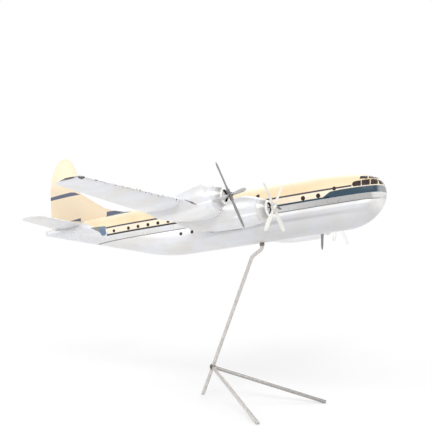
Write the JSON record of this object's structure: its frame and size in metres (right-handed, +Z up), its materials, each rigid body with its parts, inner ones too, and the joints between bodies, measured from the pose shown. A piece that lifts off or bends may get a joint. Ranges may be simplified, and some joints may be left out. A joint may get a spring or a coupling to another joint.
{
  "type": "model airliner",
  "caption": "Desk model of a four-engined propeller airliner with a double-lobe fuselage, on a tripod stand of bent rod; each propeller turns on its pin.",
  "frame": {"origin": "on the floor under the middle of the model's box, with the stand's feet on Z = 0", "axes": "+X towards the nose, +Y towards the left wing tip, +Z up; the model is nosed up and banked on its stand"},
  "size_m": [0.6493, 0.8155, 0.408],
  "materials": {
    "cream_paint": "semi-gloss cream enamel with navy stripes, yellowed",
    "silver_paint": "silver lacquer, rubbed and slightly mottled",
    "cowl_metal": "bright silver ring, pale lip",
    "dark_glass": "glossy black-brown panes",
    "rod_steel": "dull bare steel rod",
    "dark_steel": "blackened weld and nut",
    "inner_steel": "plain turned steel",
    "black_paint": "matt black engine face",
    "blade_metal": "dull grey cast blades, worn"
  },
  "bodies": {
    "root": {"fuselage_upper_shell": "cream_paint", "fuselage_lower_shell": "silver_paint", "cockpit_windows": "dark_glass", "windows_right": "dark_glass", "windows_left": "dark_glass", "wing_right": "silver_paint", "wing_left": "silver_paint", "wing_spar": "inner_steel", "tail_fin": "cream_paint", "fin_pin": "inner_steel", "tailplane_right": "silver_paint", "tailplane_left": "silver_paint", "tail_dowel": "inner_steel", "stand_socket": "inner_steel", "stand_collar": "dark_steel", "stand_main_rod": "rod_steel", "stand_leg_right": "rod_steel", "stand_leg_left": "rod_steel", "stand_weld": "dark_steel", "nacelle_1": "silver_paint", "nacelle_2": "silver_paint", "nacelle_3": "silver_paint", "nacelle_4": "silver_paint", "cowling_1": "cowl_metal", "cowling_2": "cowl_metal", "cowling_3": "cowl_metal", "cowling_4": "cowl_metal", "engine_1": "black_paint", "engine_2": "black_paint", "engine_3": "black_paint", "engine_4": "black_paint", "propeller_pin_1": "inner_steel", "propeller_pin_2": "inner_steel", "propeller_pin_3": "inner_steel", "propeller_pin_4": "inner_steel"},
    "propeller_1": {"propeller_hub_1": "blade_metal", "propeller_blades_1": "blade_metal"},
    "propeller_2": {"propeller_hub_2": "blade_metal", "propeller_blades_2": "blade_metal"},
    "propeller_3": {"propeller_hub_3": "blade_metal", "propeller_blades_3": "blade_metal"},
    "propeller_4": {"propeller_hub_4": "blade_metal", "propeller_blades_4": "blade_metal"}
  },
  "joints": [
    {"name": "propeller_1_spin", "type": "hinge", "parent": "root", "child": "propeller_1", "pos_m": [0.16882, 0.1948, 0.29188], "axis": [0.9769, 0.0404, 0.2099], "continuous": true},
    {"name": "propeller_2_spin", "type": "hinge", "parent": "root", "child": "propeller_2", "pos_m": [0.18362, 0.08628, 0.3053], "axis": [0.9896, -0.0434, 0.1371], "continuous": true},
    {"name": "propeller_3_spin", "type": "hinge", "parent": "root", "child": "propeller_3", "pos_m": [0.17778, -0.09552, 0.33682], "axis": [0.9966, 0.0323, 0.0763], "continuous": true},
    {"name": "propeller_4_spin", "type": "hinge", "parent": "root", "child": "propeller_4", "pos_m": [0.1561, -0.20109, 0.36051], "axis": [0.9207, -0.0652, 0.3847], "continuous": true}
  ]
}
